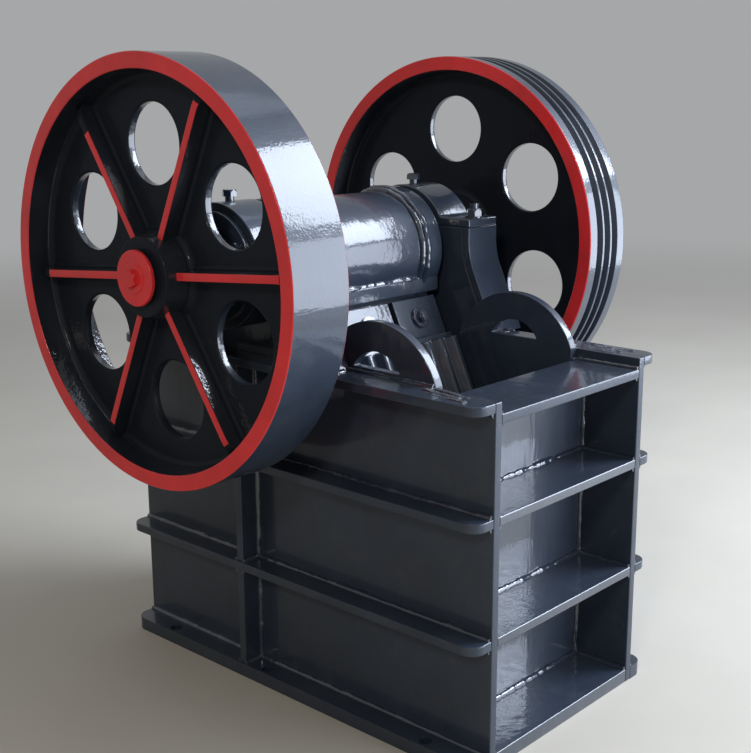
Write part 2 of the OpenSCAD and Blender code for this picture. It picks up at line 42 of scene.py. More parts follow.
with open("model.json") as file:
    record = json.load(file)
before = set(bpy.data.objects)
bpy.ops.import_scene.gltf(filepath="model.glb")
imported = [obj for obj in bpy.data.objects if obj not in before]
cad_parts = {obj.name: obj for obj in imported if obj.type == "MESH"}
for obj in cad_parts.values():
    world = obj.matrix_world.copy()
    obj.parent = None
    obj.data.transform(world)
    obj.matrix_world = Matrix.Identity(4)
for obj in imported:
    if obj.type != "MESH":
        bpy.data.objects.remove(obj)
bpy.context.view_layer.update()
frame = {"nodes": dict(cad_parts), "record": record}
BODY_OF = {n: body for body, names in frame["record"]["behaviour"]["bodies"].items() for n in names}

MM = 0.001
AMBIENT = 0.4  # the share of the backdrop's brightness that lights the object
SHAFT = Vector((0, 0.125, 0.870))  # a point on the shaft's axis
ECCENTRIC = Vector((0, 0.125, 0.860))  # a point on the barrel's axis at rest
LEAN = math.radians(25)  # of the swing jaw plate and of the pitman behind it
JAW_Y, JAW_Z = -62, 685  # millimetres, a point on the tips of the swing jaw plate's ridges
JAW = Matrix.Translation((0, JAW_Y * MM, JAW_Z * MM)) @ Matrix.Rotation(-LEAN, 4, "X")
BEARING_MIDDLE = 0.272  # the bearing caps' middle from the machine's middle plane


# Sizes and colours a user may change


class PaintSettings(bpy.types.PropertyGroup):
    enamel: StringProperty(name="Enamel", description="sRGB hex of the dark gloss enamel", default="#28313e")
    # The enamel inside the wheels' rims is a darker copy of the same enamel: painted shade on the webs, ribs
    # and rim walls that lie in shade within the rims
    painted_shade_webs: StringProperty(name="Webs", description="sRGB hex of the enamel inside the wheels' rims",
                         default="#171c24")
    red: StringProperty(name="Red", description="sRGB hex of the red gloss paint", default="#df3234")
    floor: StringProperty(name="Floor", description="sRGB hex of the floor", default="#beb8ab")
    backdrop: StringProperty(name="Backdrop", description="sRGB hex of the studio beyond the floor",
                             default="#a6a7a8")


class PlateSettings(bpy.types.PropertyGroup):
    edge: FloatProperty(name="Edge", description="Rounding of a flame-cut and painted plate edge",
                        default=2.0 * MM, min=0.2 * MM, max=4 * MM, unit="LENGTH")
    cast_edge: FloatProperty(name="Cast edge", description="Rounding of a casting's edge",
                             default=3.5 * MM, min=1 * MM, max=5 * MM, unit="LENGTH")
    weld: FloatProperty(name="Weld", description="Radius of a fillet weld's bead",
                        default=7.5 * MM, min=3 * MM, max=10 * MM, unit="LENGTH")
    ripple: FloatProperty(name="Ripple", description="Distance from one weld ripple to the next",
                          default=9 * MM, min=3 * MM, max=15 * MM, unit="LENGTH")


class WheelSettings(bpy.types.PropertyGroup):
    spokes: IntProperty(name="Ribs", description="Number of ribs, and of holes between them",
                        default=6, min=5, max=7)
    phase: FloatProperty(name="Phase", description="Place of the first rib, from +Y towards +Z",
                         default=math.radians(-4.7), subtype="ANGLE")
    hole: FloatProperty(name="Hole radius", description="Radius of the round holes in the web",
                        default=75 * MM, min=60 * MM, max=80 * MM, unit="LENGTH")
    rib: FloatProperty(name="Rib thickness", description="Thickness of a rib at its top",
                       default=16 * MM, min=12 * MM, max=18 * MM, unit="LENGTH")


# Meshes


def put(name, data):
    """A new object in the scene for a mesh, a lamp or a camera."""
    obj = bpy.data.objects.new(name, data)
    bpy.context.scene.collection.objects.link(obj)
    return obj


def put_mesh(name, bm):
    """A new object at the origin from a bmesh, which is freed."""
    mesh = bpy.data.meshes.new(name)
    bm.to_mesh(mesh)
    bm.free()
    return put(name, mesh)


def closed_mesh(name, bm):
    """A new object at the origin from a bmesh, with merged doubles and its faces outward."""
    bmesh.ops.remove_doubles(bm, verts=bm.verts, dist=1e-6)
    bmesh.ops.recalc_face_normals(bm, faces=bm.faces)
    return put_mesh(name, bm)


def settle(obj):
    """Turns the object's modifiers into plain mesh."""
    graph = bpy.context.evaluated_depsgraph_get()
    graph.update()
    mesh = bpy.data.meshes.new_from_object(
        obj.evaluated_get(graph), preserve_all_data_layers=True, depsgraph=graph)
    mesh.name = obj.name
    old = obj.data
    obj.modifiers.clear()
    obj.data = mesh
    bpy.data.meshes.remove(old)
    return obj


def finish(obj, body, material, stands_for=(), edge=0.0, sharp=50):
    """Rounds a piece's edges, shades and paints it, and lets it ride on its body."""
    if edge:
        bevel = obj.modifiers.new("edges", "BEVEL")
        bevel.width = edge
        bevel.segments = 2
        bevel.limit_method = "ANGLE"
        bevel.angle_limit = math.radians(28)
        bevel.miter_outer = "MITER_ARC"
    settle(obj)
    obj.data.shade_smooth()
    obj.data.set_sharp_from_angle(angle=math.radians(sharp))
    weighted = obj.modifiers.new("normals", "WEIGHTED_NORMAL")
    weighted.keep_sharp = True
    settle(obj)
    if material:
        obj.data.materials.clear()
        obj.data.materials.append(material)
    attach(obj, body)
    if stands_for:
        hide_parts(*stands_for)


def dress(node, material, edge=2 * MM):
    """The CAD node's own shape with its edges rounded, standing for the node."""
    bm = bmesh.new()
    bm.from_mesh(frame["nodes"][node].data)
    bmesh.ops.remove_doubles(bm, verts=bm.verts, dist=2e-6)
    bmesh.ops.dissolve_limit(bm, angle_limit=math.radians(0.2), verts=bm.verts, edges=bm.edges)
    finish(put_mesh(node + "_finished", bm), BODY_OF[node], material, (node,), edge)


def rounded(points, radii, steps=4):
    """A closed outline with each corner turned into an arc of its radius."""
    out = []
    for i, (corner, r) in enumerate(zip(points, radii)):
        p = Vector(corner)
        a = Vector(points[i - 1]) - p
        b = Vector(points[(i + 1) % len(points)]) - p
        if r <= 0:
            out.append(p)
            continue
        half = a.angle(b) / 2
        run = min(r / math.tan(half), a.length * 0.49, b.length * 0.49)
        start, end = p + a.normalized() * run, p + b.normalized() * run
        middle = p + (a.normalized() + b.normalized()).normalized() * (run / math.cos(half))
        turn = (start - middle).angle_signed(end - middle)
        for k in range(steps + 1):
            out.append(middle + Matrix.Rotation(-turn * k / steps, 2) @ (start - middle))
    return out


def lathe(bm, outline, centre, segments=144):
    """Turns a closed outline of (x, radius) points about the X direction through a centre."""
    rings = []
    for k in range(segments):
        a = 2 * math.pi * k / segments
        rings.append([
            bm.verts.new(centre + Vector((x, r * math.cos(a), r * math.sin(a)))) for x, r in outline])
    for k, ring in enumerate(rings):
        after = rings[(k + 1) % segments]
        for i in range(len(outline)):
            j = (i + 1) % len(outline)
            bm.faces.new((ring[i], ring[j], after[j], after[i]))


def prism(bm, outline, x0, x1, place=Matrix.Identity(4)):
    """A solid from x0 to x1 over a closed outline of (y, z) points."""
    near = [bm.verts.new(place @ Vector((x0, y, z))) for y, z in outline]
    far = [bm.verts.new(place @ Vector((x1, y, z))) for y, z in outline]
    bm.faces.new(near)
    bm.faces.new(far[::-1])
    for i in range(len(outline)):
        j = (i + 1) % len(outline)
        bm.faces.new((near[j], near[i], far[i], far[j]))


def block(bm, low, high, place=Matrix.Identity(4)):
    """A box between two corners."""
    (x0, y0, z0), (x1, y1, z1) = low, high
    prism(bm, [(y0, z0), (y1, z0), (y1, z1), (y0, z1)], x0, x1, place)


# Node trees


def add(tree, kind, inputs=None, **settings):
    """Adds a node with its settings. Inputs go by socket name or number, as values or sockets to link."""
    node = tree.nodes.new(kind)
    for key, value in settings.items():
        setattr(node, key, value)
    for socket, value in (inputs or {}).items():
        if isinstance(value, bpy.types.NodeSocket):
            tree.links.new(value, node.inputs[socket])
        else:
            node.inputs[socket].default_value = value
    return node


def geometry_tree(name, sockets):
    """A geometry node tree with a mesh in and out and the named inputs. Returns it and its inputs."""
    tree = bpy.data.node_groups.new(name, "GeometryNodeTree")
    tree.interface.new_socket("Geometry", in_out="INPUT", socket_type="NodeSocketGeometry")
    for label, kind in sockets:
        tree.interface.new_socket(label, in_out="INPUT", socket_type="NodeSocket" + kind)
    tree.interface.new_socket("Geometry", in_out="OUTPUT", socket_type="NodeSocketGeometry")
    return tree, tree.nodes.new("NodeGroupInput").outputs


def close_tree(tree, geometry, given):
    """Ends a tree in Realize Instances and Set Material."""
    plain = add(tree, "GeometryNodeRealizeInstances", {"Geometry": geometry})
    painted = add(tree, "GeometryNodeSetMaterial", {
        "Geometry": plain.outputs[0], "Material": given["Material"]})
    add(tree, "NodeGroupOutput", {0: painted.outputs[0]})


def run_tree(obj, tree, values):
    """Puts a tree on an object, sets its inputs by their identifiers, and makes the result plain mesh."""
    modifier = obj.modifiers.new(tree.name, "NODES")
    modifier.node_group = tree
    for item in tree.interface.items_tree:
        if item.in_out == "INPUT" and item.name in values:
            modifier[item.identifier] = values[item.name]
    return settle(obj)


def wheel_tree():
    """Cuts a ring of holes through a lathed wheel, sets a ring of ribs on it and moves it to its centre."""
    tree, given = geometry_tree("wheel_holes_and_ribs", [
        ("Cutter", "Object"), ("Rib", "Object"), ("Count", "Int"), ("Phase", "Float"),
        ("Centre", "Vector"), ("Material", "Material")])
    step = add(tree, "ShaderNodeMath", {0: 2 * math.pi, 1: given["Count"]}, operation="DIVIDE")
    points = add(tree, "GeometryNodePoints", {"Count": given["Count"]})
    index = add(tree, "GeometryNodeInputIndex")
    rings = []
    for name, shift in (("Cutter", 0.5), ("Rib", 0.0)):
        place = add(tree, "ShaderNodeMath", {0: index.outputs[0], 1: shift}, operation="ADD")
        angle = add(tree, "ShaderNodeMath", {0: place.outputs[0], 1: step.outputs[0], 2: given["Phase"]},
                    operation="MULTIPLY_ADD")
        turn = add(tree, "ShaderNodeCombineXYZ", {"X": angle.outputs[0]})
        shape = add(tree, "GeometryNodeObjectInfo", {"Object": given[name]})
        ring = add(tree, "GeometryNodeInstanceOnPoints", {
            "Points": points.outputs[0], "Instance": shape.outputs["Geometry"], "Rotation": turn.outputs[0]})
        rings.append(add(tree, "GeometryNodeRealizeInstances", {"Geometry": ring.outputs[0]}).outputs[0])
    cut = add(tree, "GeometryNodeMeshBoolean", {"Mesh 1": given["Geometry"], "Mesh 2": rings[0]},
              operation="DIFFERENCE", solver="EXACT")
    both = add(tree, "GeometryNodeJoinGeometry", {0: rings[1]})
    tree.links.new(cut.outputs[0], both.inputs[0])
    moved = add(tree, "GeometryNodeTransform", {
        "Geometry": both.outputs[0], "Translation": given["Centre"]})
    close_tree(tree, moved.outputs[0], given)
    return tree


def weld_tree():
    """Lays a rippled bead of weld along every line of the mesh."""
    tree, given = geometry_tree("weld_beads", [
        ("Bead", "Float"), ("Ripple", "Float"), ("Step", "Float"), ("Seed", "Float"),
        ("Material", "Material")])
    line = add(tree, "GeometryNodeMeshToCurve", {"Mesh": given["Geometry"]})
    even = add(tree, "GeometryNodeResampleCurve", {"Curve": line.outputs[0], "Length": given["Step"]},
               mode="LENGTH")
    along = add(tree, "GeometryNodeSplineParameter")
    wave = add(tree, "ShaderNodeMath", {0: along.outputs["Length"], 1: given["Ripple"]}, operation="DIVIDE")
    turns = add(tree, "ShaderNodeMath", {0: wave.outputs[0], 1: 2 * math.pi}, operation="MULTIPLY")
    ripple = add(tree, "ShaderNodeMath", {0: turns.outputs[0]}, operation="SINE")
    place = add(tree, "GeometryNodeInputPosition")
    # The bead swells and thins over about 35 mm, and wanders by up to 2 mm from its line
    drift = add(tree, "ShaderNodeTexNoise", {
        "Vector": place.outputs[0], "W": given["Seed"], "Scale": 28.0, "Detail": 2.0}, noise_dimensions="4D")
    swell = add(tree, "ShaderNodeMapRange", {
        "Value": drift.outputs[0], "From Min": 0.3, "From Max": 0.7, "To Min": 0.65, "To Max": 1.3})
    small = add(tree, "ShaderNodeMath", {0: ripple.outputs[0], 1: 0.09, 2: swell.outputs[0]},
                operation="MULTIPLY_ADD")
    radius = add(tree, "ShaderNodeMath", {0: small.outputs[0], 1: given["Bead"]}, operation="MULTIPLY")
    wander = add(tree, "ShaderNodeVectorMath", {0: drift.outputs[1], 1: (-0.5, -0.5, -0.5)}, operation="ADD")
    shift = add(tree, "ShaderNodeVectorMath", {0: wander.outputs[0], "Scale": 4 * MM}, operation="SCALE")
    moved = add(tree, "GeometryNodeSetPosition", {"Geometry": even.outputs[0], "Offset": shift.outputs[0]})
    circle = add(tree, "GeometryNodeCurvePrimitiveCircle", {"Resolution": 8, "Radius": 1.0})
    bead = add(tree, "GeometryNodeCurveToMesh", {
        "Curve": moved.outputs[0], "Profile Curve": circle.outputs[0], "Scale": radius.outputs[0],
        "Fill Caps": True})
    smooth = add(tree, "GeometryNodeSetShadeSmooth", {"Geometry": bead.outputs[0]})
    close_tree(tree, smooth.outputs[0], given)
    return tree


def bolt_tree():
    """Sets a chamfered hexagon head, a washer and a stud end on every point, along the point's axis."""
    tree, given = geometry_tree("hexagon_bolts", [
        ("Corner radius", "Float"), ("Head height", "Float"), ("Washer radius", "Float"),
        ("Washer height", "Float"), ("Stud radius", "Float"), ("Stud length", "Float"),
        ("Material", "Material")])
    upright = []
    for sides, radius, height in (
            (6, "Corner radius", "Head height"), (32, "Washer radius", "Washer height"),
            (24, "Stud radius", "Stud length")):
        solid = add(tree, "GeometryNodeMeshCylinder", {
            "Vertices": sides, "Radius": given[radius], "Depth": given[height]})
        middle = add(tree, "ShaderNodeMath", {0: given[height], 1: 0.5}, operation="MULTIPLY")
        rise = add(tree, "ShaderNodeCombineXYZ", {"Z": middle.outputs[0]})
        upright.append(add(tree, "GeometryNodeTransform", {
            "Geometry": solid.outputs[0], "Translation": rise.outputs[0]}))
    head, washer, stud = upright
    # A blunt cone takes the six corners off the head's top
    wide = add(tree, "ShaderNodeMath", {0: given["Corner radius"], 1: 1.22}, operation="MULTIPLY")
    tight = add(tree, "ShaderNodeMath", {0: given["Corner radius"], 1: 0.84}, operation="MULTIPLY")
    cone = add(tree, "GeometryNodeMeshCone", {
        "Vertices": 32, "Radius Top": tight.outputs[0], "Radius Bottom": wide.outputs[0],
        "Depth": given["Head height"]})
    chamfered = add(tree, "GeometryNodeMeshBoolean", {"Mesh 2": head.outputs[0]},
                    operation="INTERSECT", solver="EXACT")
    tree.links.new(cone.outputs[0], chamfered.inputs["Mesh 2"])
    seat = add(tree, "ShaderNodeCombineXYZ", {"Z": given["Washer height"]})
    seated = add(tree, "GeometryNodeTransform", {
        "Geometry": chamfered.outputs[0], "Translation": seat.outputs[0]})
    bolt = add(tree, "GeometryNodeJoinGeometry", {0: seated.outputs[0]})
    for part in (washer, stud):
        tree.links.new(part.outputs[0], bolt.inputs[0])
    axis = add(tree, "GeometryNodeInputNamedAttribute", {"Name": "axis"}, data_type="FLOAT_VECTOR")
    turn = add(tree, "FunctionNodeAlignRotationToVector", {"Vector": axis.outputs["Attribute"]}, axis="Z")
    # Each head stops at another angle
    index = add(tree, "GeometryNodeInputIndex")
    spun = add(tree, "ShaderNodeMath", {0: index.outputs[0], 1: 0.37}, operation="MULTIPLY")
    about = add(tree, "ShaderNodeCombineXYZ", {"Z": spun.outputs[0]})
    both = add(tree, "FunctionNodeRotateRotation", {
        "Rotation": turn.outputs[0], "Rotate By": about.outputs[0]}, rotation_space="LOCAL")
    set_on = add(tree, "GeometryNodeInstanceOnPoints", {
        "Points": given["Geometry"], "Instance": bolt.outputs[0], "Rotation": both.outputs[0]})
    close_tree(tree, set_on.outputs[0], given)
    return tree


def coil_tree():
    """Winds a compression spring with closed ends about the Y direction."""
    tree, given = geometry_tree("coil_spring", [
        ("Turns", "Float"), ("Radius", "Float"), ("Length", "Float"), ("Wire", "Float"),
        ("Centre", "Vector"), ("Material", "Material")])
    coil = add(tree, "GeometryNodeCurveSpiral", {
        "Resolution": 32, "Rotations": given["Turns"], "Start Radius": given["Radius"],
        "End Radius": given["Radius"], "Height": given["Length"]})
    wire = add(tree, "GeometryNodeCurvePrimitiveCircle", {"Resolution": 12, "Radius": given["Wire"]})
    solid = add(tree, "GeometryNodeCurveToMesh", {
        "Curve": coil.outputs[0], "Profile Curve": wire.outputs[0], "Fill Caps": True})
    laid = add(tree, "GeometryNodeTransform", {
        "Geometry": solid.outputs[0], "Rotation": (math.radians(-90), 0, 0), "Translation": given["Centre"]})
    close_tree(tree, laid.outputs[0], given)
    return tree


# Materials


def linear(code):
    """Linear RGBA of an sRGB hex colour."""
    parts = [int(code[i:i + 2], 16) / 255 for i in (1, 3, 5)]
    return tuple(c / 12.92 if c <= 0.04045 else ((c + 0.055) / 1.055) ** 2.4 for c in parts) + (1.0,)


def scaled(code, factor):
    """A linear colour made lighter or darker."""
    return tuple(min(1.0, c * factor) for c in linear(code)[:3]) + (1.0,)


def blank_material(name):
    """A new material and its empty tree."""
    material = bpy.data.materials.new(name)
    material.use_nodes = True
    material.node_tree.nodes.clear()
    return material, material.node_tree


def gloss_paint(name, code, roughness=0.42, peel=0.35, runs=0.5, coat=0.6, specular=0.3,
                strokes=(1.0, 1.0, 0.16), dirt=0.1):
    """Brushed gloss enamel: a deep colour under a wet-looking skin, with waves, runs and a little dust."""
    material, tree = blank_material(name)
    where = add(tree, "ShaderNodeTexCoord").outputs["Object"]
    # Orange peel a few millimetres across, drawn coarse enough to show
    peel_noise = add(tree, "ShaderNodeTexNoise", {
        "Vector": where, "Scale": 210.0, "Detail": 2.0, "Roughness": 0.5})
    # Thick paint that ran down a wall or was drawn across a rim: waves about 30 mm apart, up to 200 mm long
    tall = add(tree, "ShaderNodeMapping", {"Vector": where, "Scale": strokes})
    run_noise = add(tree, "ShaderNodeTexNoise", {
        "Vector": tall.outputs[0], "Scale": 34.0, "Detail": 3.0, "Roughness": 0.55})
    fine = add(tree, "ShaderNodeBump", {
        "Height": peel_noise.outputs[0], "Strength": peel, "Distance": 0.35 * MM})
    full = add(tree, "ShaderNodeBump", {
        "Height": run_noise.outputs[0], "Strength": runs, "Distance": 1.6 * MM, "Normal": fine.outputs[0]})
    # Colour drifts a little where the coat is thin
    patch = add(tree, "ShaderNodeTexNoise", {"Vector": where, "Scale": 7.0, "Detail": 4.0, "Roughness": 0.6})
    tone = add(tree, "ShaderNodeMapRange", {"Value": patch.outputs[0], "From Min": 0.3, "From Max": 0.7})
    colour = add(tree, "ShaderNodeMix", {
        "Factor": tone.outputs[0], "A": scaled(code, 0.82), "B": scaled(code, 1.15)}, data_type="RGBA")
    # Dust dulls the gloss in patches
    dust_noise = add(tree, "ShaderNodeTexNoise", {
        "Vector": where, "Scale": 16.0, "Detail": 6.0, "Roughness": 0.7})
    dust = add(tree, "ShaderNodeMapRange", {
        "Value": dust_noise.outputs[0], "From Min": 0.52, "From Max": 0.75, "To Max": dirt})
    dusty = add(tree, "ShaderNodeMix", {
        "Factor": dust.outputs[0], "A": colour.outputs["Result"], "B": scaled("#8d8a84", 0.55)},
        data_type="RGBA")
    dull = add(tree, "ShaderNodeMath", {0: dust.outputs[0], 1: 0.9, 2: roughness}, operation="MULTIPLY_ADD")
    shader = add(tree, "ShaderNodeBsdfPrincipled", {
        "Base Color": dusty.outputs["Result"], "Roughness": dull.outputs[0], "IOR": 1.5,
        "Specular IOR Level": specular, "Normal": full.outputs[0], "Coat Weight": coat,
        "Coat Roughness": 0.05, "Coat Normal": full.outputs[0]})
    add(tree, "ShaderNodeOutputMaterial", {"Surface": shader.outputs[0]})
    return material


def turned_steel(name, code="#9a9c9f", roughness=0.32):
    """Turned and ground steel: bright, with fine rings about the shaft and a film of oil."""
    material, tree = blank_material(name)
    where = add(tree, "ShaderNodeTexCoord").outputs["Object"]
    # Tool marks 2 mm apart along the shaft, coarser than real so that they show
    marks = add(tree, "ShaderNodeTexWave", {
        "Vector": where, "Scale": 160.0, "Distortion": 1.5, "Detail": 2.0}, bands_direction="X")
    film = add(tree, "ShaderNodeTexNoise", {"Vector": where, "Scale": 22.0, "Detail": 5.0})
    bump = add(tree, "ShaderNodeBump", {
        "Height": marks.outputs["Fac"], "Strength": 0.2, "Distance": 0.2 * MM})
    rough = add(tree, "ShaderNodeMapRange", {
        "Value": film.outputs[0], "To Min": roughness - 0.1, "To Max": roughness + 0.15})
    colour = add(tree, "ShaderNodeMix", {
        "Factor": film.outputs[0], "A": scaled(code, 0.75), "B": linear(code)}, data_type="RGBA")
    shader = add(tree, "ShaderNodeBsdfPrincipled", {
        "Base Color": colour.outputs["Result"], "Metallic": 1.0, "Roughness": rough.outputs[0],
        "Normal": bump.outputs[0]})
    add(tree, "ShaderNodeOutputMaterial", {"Surface": shader.outputs[0]})
    return material


def sand_cast_steel(name, code="#4d4c4a"):
    """Raw sand-cast steel: dark and grainy, with a thin brown bloom of rust."""
    material, tree = blank_material(name)
    where = add(tree, "ShaderNodeTexCoord").outputs["Object"]
    # Sand grain 3 mm across, coarser than real so that it shows
    grain = add(tree, "ShaderNodeTexNoise", {
        "Vector": where, "Scale": 330.0, "Detail": 4.0, "Roughness": 0.7})
    bloom = add(tree, "ShaderNodeTexNoise", {
        "Vector": where, "Scale": 14.0, "Detail": 6.0, "Roughness": 0.7})
    spread = add(tree, "ShaderNodeMapRange", {
        "Value": bloom.outputs[0], "From Min": 0.5, "From Max": 0.72, "To Max": 0.6})
    colour = add(tree, "ShaderNodeMix", {
        "Factor": spread.outputs[0], "A": linear(code), "B": linear("#6b4a35")}, data_type="RGBA")
    bump = add(tree, "ShaderNodeBump", {"Height": grain.outputs[0], "Strength": 0.6, "Distance": 0.8 * MM})
    shader = add(tree, "ShaderNodeBsdfPrincipled", {
        "Base Color": colour.outputs["Result"], "Metallic": 0.6, "Roughness": 0.62,
        "Normal": bump.outputs[0]})
    add(tree, "ShaderNodeOutputMaterial", {"Surface": shader.outputs[0]})
    return material


def shown_strength(tree, ambient):
    """1 where the camera or a reflection shows the backdrop, and less for the light that it gives."""
    path = add(tree, "ShaderNodeLightPath").outputs
    seen = add(tree, "ShaderNodeMath", {0: path["Is Camera Ray"], 1: path["Is Glossy Ray"]}, operation="ADD")
    shown = add(tree, "ShaderNodeMath", {0: seen.outputs[0], 1: path["Is Transmission Ray"]}, operation="ADD")
    return add(tree, "ShaderNodeMapRange", {"Value": shown.outputs[0], "To Min": ambient}).outputs[0]


def pale_concrete(name, code, backdrop):
    """Trowelled pale concrete: matt, with soft cloudy patches, running out into the backdrop's colour."""
    material, tree = blank_material(name)
    where = add(tree, "ShaderNodeTexCoord").outputs["Object"]
    cloud = add(tree, "ShaderNodeTexNoise", {"Vector": where, "Scale": 2.2, "Detail": 5.0, "Roughness": 0.6})
    colour = add(tree, "ShaderNodeMix", {
        "Factor": cloud.outputs[0], "A": scaled(code, 0.9), "B": scaled(code, 1.08)}, data_type="RGBA")
    concrete = add(tree, "ShaderNodeBsdfPrincipled", {
        "Base Color": colour.outputs["Result"], "Roughness": 0.85})
    beyond = add(tree, "ShaderNodeEmission", {
        "Color": linear(backdrop), "Strength": shown_strength(tree, AMBIENT)})
    # Plain concrete up to 2.2 m from the middle, and plain backdrop from 8 m on
    away = add(tree, "ShaderNodeVectorMath", {0: where}, operation="LENGTH")
    fade = add(tree, "ShaderNodeMapRange", {
        "Value": away.outputs["Value"], "From Min": 2.2, "From Max": 8.0}, interpolation_type="SMOOTHSTEP")
    both = add(tree, "ShaderNodeMixShader", {
        0: fade.outputs[0], 1: concrete.outputs[0], 2: beyond.outputs[0]})
    add(tree, "ShaderNodeOutputMaterial", {"Surface": both.outputs[0]})
    return material


FINISHES = {}


def paint(name):
    """The finish of that name, made when it is first asked for."""
    if name not in FINISHES:
        colours = bpy.context.scene.crusher_paint
        FINISHES[name] = {
            "enamel": lambda: gloss_paint("dark_gloss_enamel", colours.enamel),
            "thick_enamel": lambda: gloss_paint(
                "dark_gloss_enamel_laid_thick", colours.enamel, runs=0.7, coat=1.0, specular=0.6),
            "cast_enamel": lambda: gloss_paint(
                "dark_gloss_enamel_on_castings", colours.enamel, peel=0.6, runs=0.7, coat=0.8,
                strokes=(0.8, 0.8, 0.5)),
            "wheel_enamel": lambda: gloss_paint(
                "dark_gloss_enamel_on_wheels", colours.enamel, peel=0.5, runs=0.35, coat=0.7,
                specular=0.35, strokes=(0.14, 1.0, 1.0)),
            # Inside the wheels' rims the enamel is drawn darker as painted shade: glossy on ribs, roots and
            # walls, satin on the flat web faces
            "rib_enamel_with_painted_shade": lambda: gloss_paint(
                "dark_gloss_enamel_on_ribs", colours.painted_shade_webs, peel=0.6, runs=0.9, coat=1.0,
                specular=0.4, strokes=(1.0, 1.0, 1.0), dirt=0.03),
            "web_enamel_with_painted_shade": lambda: gloss_paint(
                "dark_satin_enamel_on_webs", colours.painted_shade_webs, roughness=0.5, coat=0.08, specular=0.1,
                dirt=0.02),
            "weld_enamel": lambda: gloss_paint(
                "dark_gloss_enamel_on_welds", colours.enamel, roughness=0.2, peel=0.8, runs=0.8,
                coat=1.0, specular=0.5),
            "red": lambda: gloss_paint(
                "red_gloss_paint", colours.red, roughness=0.3, coat=0.3, dirt=0.02),
            "steel": lambda: turned_steel("turned_steel"),
            "cast": lambda: sand_cast_steel("sand_cast_steel"),
            "floor": lambda: pale_concrete("pale_concrete", colours.floor, colours.backdrop),
        }[name]()
    return FINISHES[name]


# The pieces


def both_sides(paths):
    """The paths and their mirror images on the other side of the machine."""
    return paths + [[(-x, y, z) for x, y, z in path] for path in paths]


def lay_welds(name, paths, body, seed):
    """Weld beads of one body along its paths, as one piece."""
    plates = bpy.context.scene.crusher_plates
    mesh = bpy.data.meshes.new(name)
    points, edges = [], []
    for path in paths:
        first = len(points)
        points += path
        edges += [(i, i + 1) for i in range(first, len(points) - 1)]
    mesh.from_pydata(points, edges, [])
    obj = put(name, mesh)
    tree = bpy.data.node_groups.get("weld_beads") or weld_tree()
    run_tree(obj, tree, {
        "Bead": plates.weld, "Ripple": plates.ripple, "Step": 4.5 * MM, "Seed": seed,
        "Material": paint("weld_enamel")})
    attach(obj, body)


def set_bolts(name, places, body, material, corner, height, washer=(0.0, 0.0), stud=(0.0, 0.0),
              edge=0.6 * MM):
    """Hexagon bolts of one size on one body. Each place is a point and the direction that it faces.

    Washer and stud are a radius and a height in metres, and without them small ones hide in the head.
    """
    mesh = bpy.data.meshes.new(name)
    mesh.from_pydata([p for p, _ in places], [], [])
    axis = mesh.attributes.new("axis", "FLOAT_VECTOR", "POINT")
    for item, (_, direction) in zip(axis.data, places):
        item.vector = direction
    obj = put(name, mesh)
    tree = bpy.data.node_groups.get("hexagon_bolts") or bolt_tree()
    run_tree(obj, tree, {
        "Corner radius": corner, "Head height": height, "Washer radius": max(washer[0], corner * 0.5),
        "Washer height": max(washer[1], 0.5 * MM), "Stud radius": max(stud[0], corner * 0.3),
        "Stud length": max(stud[1], 1 * MM), "Material": material})
    finish(obj, body, None, edge=edge, sharp=35)


class PlatesOperator(bpy.types.Operator):
    """Rounds and paints every plate of the welded frame"""
    bl_idname = "crusher.plates"
    bl_label = "Frame plates"

    def execute(self, context):
        edge = context.scene.crusher_plates.edge
        for side in ("left", "right"):
            for node in ("side_plate_", "side_ribs_", "pedestal_flanges_", "cheek_plate_"):
                dress(node + side, paint("enamel"), edge=edge)
        for node in ("base_flanges", "top_flanges", "posts", "front_top_plate", "rear_top_plate"):
            dress(node, paint("enamel"), edge=edge)
        for node in ("front_shelves", "front_wall", "rear_shelves", "rear_wall"):
            dress(node, paint("thick_enamel"), edge=edge)
        return {"FINISHED"}


